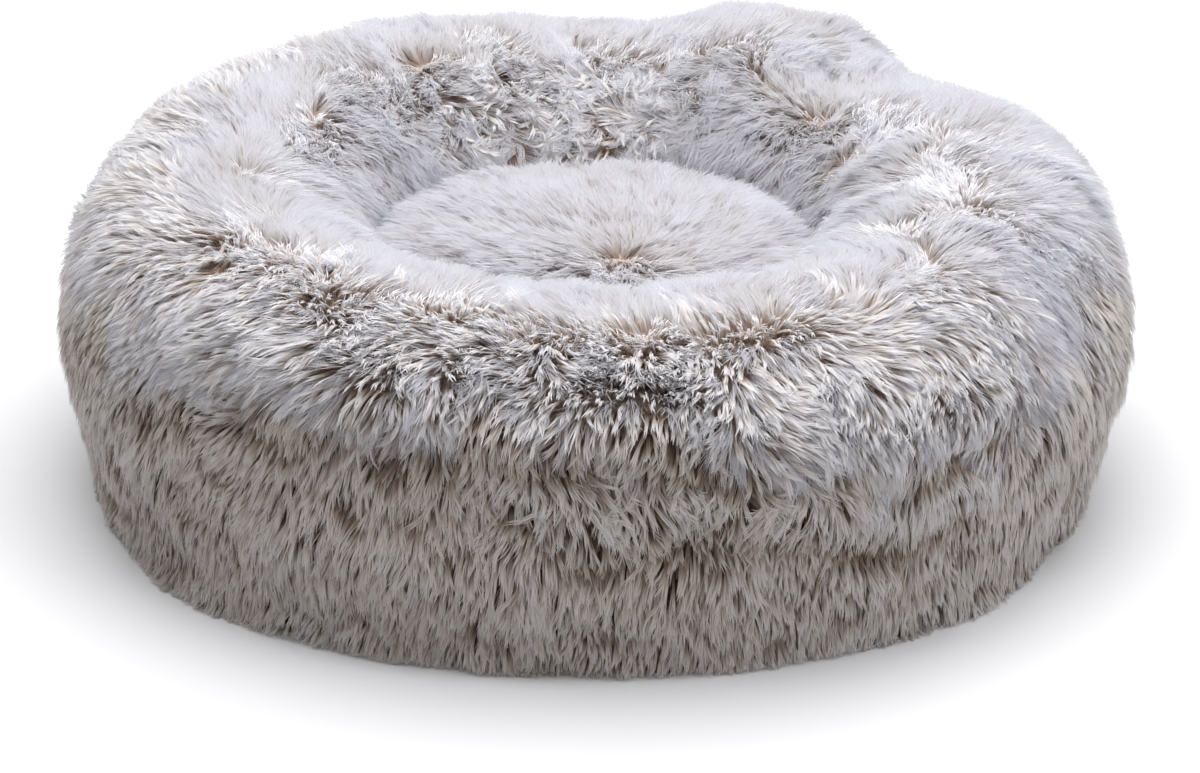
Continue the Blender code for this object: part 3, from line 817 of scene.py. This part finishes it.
def small_block(size, edge):
    """A small block with broken edges, by its three sides."""
    bm = bmesh.new()
    bmesh.ops.create_cube(bm, size=1)
    bmesh.ops.scale(bm, verts=bm.verts, vec=size)
    bmesh.ops.bevel(
        bm, geom=bm.edges[:], offset=edge, affect="EDGES", segments=1, profile=0.5, material=-1
    )
    bm.verts.index_update()
    return bm


def round_the_ring(radius, height, first, last, pitch):
    """Places at one pitch round the ring, each turned to face outwards."""
    count = round((last - first) * radius / pitch)
    there = Matrix.Translation((radius, 0, height))
    return [Matrix.Rotation(first + (n + 0.5) * (last - first) / count, 4, "Z") @ there for n in range(count)]


def make_inside():
    """Bags and fillings, which the fur hides."""
    # Spunbond is melted into small dimples, which make a thin white cloth look quilted and dull
    felt = grained_material(
        "spunbond_polypropylene", "#f2f1ec", "#dedcd5", 1.2, 0.06, "TexVoronoi", Roughness=0.85
    )
    # Carded crimped fibre has no face of its own: soft white clumps and the shade between them
    fibre = grained_material("hollow_polyester_fibre", "#d9d8d3", "#fbfbf8", 2.5, 1.0, Roughness=0.95)
    for node, width, length, area in BAGS:
        bag = dressed(node, node + "_cloth", felt, BAG_EDGE)
        filling = node.split("_")[0] + "_filling"
    for node in ("rim_fill", "centre_fill"):
        filling = dressed(node, node.split("_")[0] + "_filling", fibre, FILLING_EDGE)


def make_base():
    """The woven base with its grip dots, and the stitched tape round its edge."""
    # Plain weave under a coat: taupe, a dull sheen, and threads drawn twice as coarse so that they show
    woven = cloth_material("coated_oxford_cloth", "#6d6660", "#7f7871", 0.9, 0.12, Roughness=0.7)
    # Soft ribbed tape, a little paler than the base, its threads drawn coarser than real ones
    tape = cloth_material("woven_binding_tape", "#777069", "#8a837b", 0.7, 0.1, True, Roughness=0.85)
    # Twisted filament: a smooth pale glint on each stitch
    thread = grained_material("polyester_thread", "#8f877e", "#a59d94", 0.3, 0.05, Roughness=0.6)
    # Printed and cured dots: dark and rubbery, a little glossier than the cloth
    rubber = grained_material("soft_pvc", "#4b4743", "#57524e", 0.8, 0.03, Roughness=0.45)
    bm = bmesh.new()
    thick = BASE_TOP - BASE_UNDER
    bmesh.ops.create_cone(
        bm, cap_ends=True, segments=60, radius1=BASE_RADIUS, radius2=BASE_RADIUS, depth=thick
    )
    bmesh.ops.translate(bm, verts=bm.verts, vec=(0, 0, (BASE_TOP + BASE_UNDER) / 2))
    mesh = bpy.data.meshes.new("base_cloth")
    bm.to_mesh(mesh)
    bm.free()
    panel = ride(new_piece("base_cloth", mesh, woven))
    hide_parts("base_panel")
    rows = range(-DOT_ROWS, DOT_ROWS + 1)
    spots = []
    for row in rows:
        for col in rows:
            x, y = (col + 0.5 * (row % 2)) * DOT_PITCH, row * DOT_PITCH * DOT_ROW_STEP
            if math.hypot(x, y) < BASE_RADIUS - DOT_MARGIN:
                spots.append(Matrix.Translation((x, y, DOT_HEIGHT / 2)))
    dot = bmesh.new()
    under = DOT_RADIUS * DOT_TAPER
    bmesh.ops.create_cone(
        dot, cap_ends=True, segments=10, radius1=under, radius2=DOT_RADIUS, depth=DOT_HEIGHT
    )
    dots = repeated("base_grip_dots", dot, spots, rubber)
    dressed("base_binding", "base_binding_tape", tape, BINDING_EDGE)
    repeated(
        "base_binding_stitches",
        small_block(STITCH_SIZE, STITCH_EDGE),
        round_the_ring(BINDING_OUTSIDE, STITCH_HEIGHT, 0, math.tau, STITCH_PITCH),
        thread,
    )


def make_zip():
    """Tapes, interlocked coil teeth and the metal parts of the zip in the rear seam."""
    # Fine herringbone drawn as a plain weave, matt and pale taupe like the coil
    tape = cloth_material("woven_zip_tape", "#b3aaa0", "#c6bdb3", 0.5, 0.06, True, Roughness=0.8)
    # Drawn and dyed monofilament: smooth, with a satin light along each tooth
    nylon = grained_material("nylon_monofilament", "#b9b1a7", "#c8c0b6", 0.6, 0.02, Roughness=0.35)
    # Die cast, tumbled and plated: soft warm reflections over a faint orange peel
    zinc = grained_material(
        "nickel_plated_zinc", "#b9b6b1", "#d2d0cc", 0.35, 0.008, Roughness=0.28, Metallic=1.0
    )
    for sign, level in ((1, "upper"), (-1, "lower")):
        dressed(f"zip_tape_{level}", f"zip_tape_{level}_cloth", tape, ZIP_TAPE_EDGE)
        # The upper teeth stand half a pitch on from the lower ones
        shift = TOOTH_PITCH / 2 / ZIP_RADIUS * (sign > 0)
        first, last = ZIP_FROM + shift, ZIP_TO + shift - TOOTH_PITCH / ZIP_RADIUS
        middle = ZIP_MIDDLE + sign * (TOOTH_FROM + TOOTH_SIZE[2] / 2)
        places = round_the_ring(ZIP_RADIUS, middle, first, last, TOOTH_PITCH)
        tooth = small_block(TOOTH_SIZE, TOOTH_EDGE)
        teeth = repeated(f"zip_teeth_{level}", tooth, places, nylon)
        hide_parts(f"zip_coil_{level}")
    for node in ("zip_slider", "zip_pull_tab", "zip_closed_stop", "zip_open_stop"):
        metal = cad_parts[node]
        metal.data.materials.clear()
        metal.data.materials.append(zinc)


def seen_directly(tree):
    """1 for what the camera sees, also in a mirror or through glass, and 0 for any other ray."""
    path = add_node(tree, "LightPath")
    mirrored = {0: path.outputs["Is Camera Ray"], 1: path.outputs["Is Glossy Ray"]}
    direct = add_node(tree, "Math", mirrored, operation="MAXIMUM").outputs[0]
    through = {0: direct, 1: path.outputs["Is Transmission Ray"]}
    return add_node(tree, "Math", through, operation="MAXIMUM").outputs[0]


def make_stage():
    """Plain pale floor that stays white to the camera and keeps the bed's shadow."""
    bm = bmesh.new()
    bmesh.ops.create_grid(bm, x_segments=1, y_segments=1, size=FLOOR_SIZE)
    mesh = bpy.data.meshes.new("floor")
    bm.to_mesh(mesh)
    bm.free()
    material = bpy.data.materials.new("matt_white_floor")
    material.use_nodes = True
    tree = material.node_tree
    tree.nodes.clear()
    seen = seen_directly(tree)
    where = add_node(tree, "TexCoord").outputs["Object"]
    away = add_node(tree, "VectorMath", {0: where}, operation="LENGTH").outputs["Value"]
    rising = {"Value": away, "From Min": GLOW_FROM, "From Max": GLOW_FULL, "To Min": GLOW_NEAR}
    lit = add_node(tree, "MapRange", rising).outputs["Result"]
    raised = add_node(tree, "Math", {0: seen, 1: lit}, operation="MULTIPLY").outputs[0]
    glow = add_node(tree, "Emission", {"Color": (1, 1, 1, 1), "Strength": raised})
    greys = {0: seen, 6: linear("#b4b4b6"), 7: linear("#f0f0f3")}
    paler = add_node(tree, "Mix", greys, data_type="RGBA")
    matt = add_node(tree, "BsdfDiffuse", {"Color": paler.outputs[2]})
    both = add_node(tree, "AddShader", {0: glow.outputs[0], 1: matt.outputs[0]})
    out = tree.nodes.new("ShaderNodeOutputMaterial")
    tree.links.new(both.outputs[0], out.inputs["Surface"])
    new_piece("floor", mesh, material)


def make_world():
    """Even pale surroundings, white to the camera."""
    world = bpy.data.worlds.new("studio")
    bpy.context.scene.world = world
    world.use_nodes = True
    tree = world.node_tree
    tree.nodes.clear()
    seen = seen_directly(tree)
    strength = add_node(tree, "MapRange", {"Value": seen, "To Min": FILL_STRENGTH, "To Max": 1.0})
    white = {"Color": (1, 1, 1, 1), "Strength": strength.outputs["Result"]}
    light = add_node(tree, "Background", white)
    out = tree.nodes.new("ShaderNodeOutputWorld")
    tree.links.new(light.outputs[0], out.inputs["Surface"])


def soft_light(name, place, size, watts):
    """A square softbox aimed at the middle of the bed."""
    data = bpy.data.lights.new(name, "AREA")
    data.shape = "SQUARE"
    data.size = size
    data.energy = watts
    lamp = bpy.data.objects.new(name, data)
    lamp.location = place
    lamp.rotation_euler = (TARGET - Vector(place)).to_track_quat("-Z", "Y").to_euler()
    bpy.context.scene.collection.objects.link(lamp)


def make_camera():
    """The photograph's viewpoint. The aim is off the target by as much as the photograph's framing."""
    data = bpy.data.cameras.new("camera")
    data.sensor_fit = "HORIZONTAL"
    data.sensor_width = SENSOR
    data.lens = FOCAL_PIXELS / IMAGE_SIZE[0] * SENSOR
    camera = bpy.data.objects.new("camera", data)
    back = Vector((0, -math.cos(ELEVATION), math.sin(ELEVATION)))
    aim = back.to_track_quat("Z", "Y").to_matrix()
    yaw = math.atan((TARGET_PIXEL[0] - IMAGE_SIZE[0] / 2) / FOCAL_PIXELS)
    pitch = math.atan((TARGET_PIXEL[1] - IMAGE_SIZE[1] / 2) / FOCAL_PIXELS)
    turn = aim @ Matrix.Rotation(ROLL, 3, "Z") @ Matrix.Rotation(yaw, 3, "Y") @ Matrix.Rotation(pitch, 3, "X")
    camera.matrix_world = Matrix.Translation(TARGET + back * DISTANCE) @ turn.to_4x4()
    bpy.context.scene.collection.objects.link(camera)
    bpy.context.scene.camera = camera


make_camera()
make_stage()
make_world()
soft_light("softbox_above", place=(0.0, 0.17, 2.2), size=2.4, watts=69)
soft_light("fill_side", place=(1.8, -1.1, 1.3), size=1.4, watts=10)
# Soft straight strands with little colour at their roots: the crown looks snowy and lets much light through
silky = pile_material(
    "silky_frosted_pile",
    dark=("#6e4d39", "#987e6d", "#c2b3a9", "#e2dcd9", "#f3f0f0"),
    pale=("#c4b1a6", "#e0d8d4", "#eeedf0", "#f4f4f9", "#f5f7fc"),
    through=0.62,
)
# Clumped strands with dark taupe roots: the gaps between the clumps give the walls their brown flecks
shaggy = pile_material(
    "shaggy_frosted_pile",
    dark=("#3f2d22", "#5f4838", "#a08a78", "#dfd5cb", "#f8f4f0"),
    pale=("#8f6c57", "#bfa793", "#e4dbd4", "#f3f1f2", "#f7f7fb"),
    through=0.35,
)
# Knitted backing in the pile's own taupe, so that a gap in the pile shows no pale cloth
knit = cloth_material("knitted_pile_backing", "#bdab9d", "#cabbb0", 1.2, 0.1, Roughness=0.9)
make_fur(silky, shaggy, knit)
make_inside()
make_base()
make_zip()

bpy.context.scene.view_settings.view_transform = "Standard"
